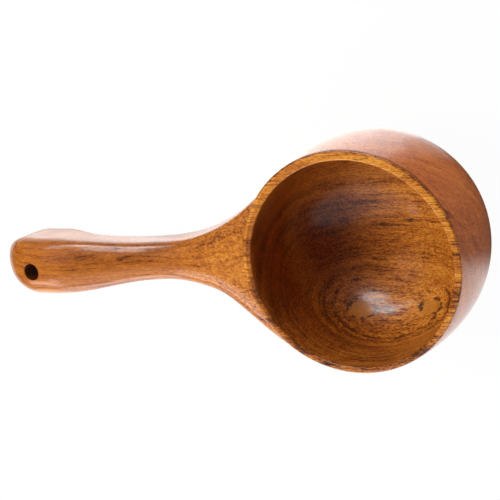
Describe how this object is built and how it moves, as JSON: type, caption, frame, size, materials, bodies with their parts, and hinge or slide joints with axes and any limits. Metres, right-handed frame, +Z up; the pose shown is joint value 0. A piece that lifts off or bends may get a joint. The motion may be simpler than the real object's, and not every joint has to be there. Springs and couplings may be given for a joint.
{
  "type": "wooden ladle",
  "caption": "Round deep wooden ladle with a thick rim, a flat base and a short waisted handle that swells to a rounded heel with a drilled hanging hole.",
  "frame": {"origin": "centre of the bowl's flat base, on the surface that the ladle stands on", "axes": "+Z up along the bowl's axis with the rim level, the handle along -X, +Y to its side"},
  "size_m": [0.252, 0.114, 0.0965],
  "materials": {
    "ladle_wood": "clear gloss lacquer over golden brown hardwood",
    "dowel_wood": "bare, hidden inside the glued joint"
  },
  "bodies": {
    "root": {"bowl": "ladle_wood", "handle": "ladle_wood", "neck_dowel": "dowel_wood"}
  },
  "joints": []
}
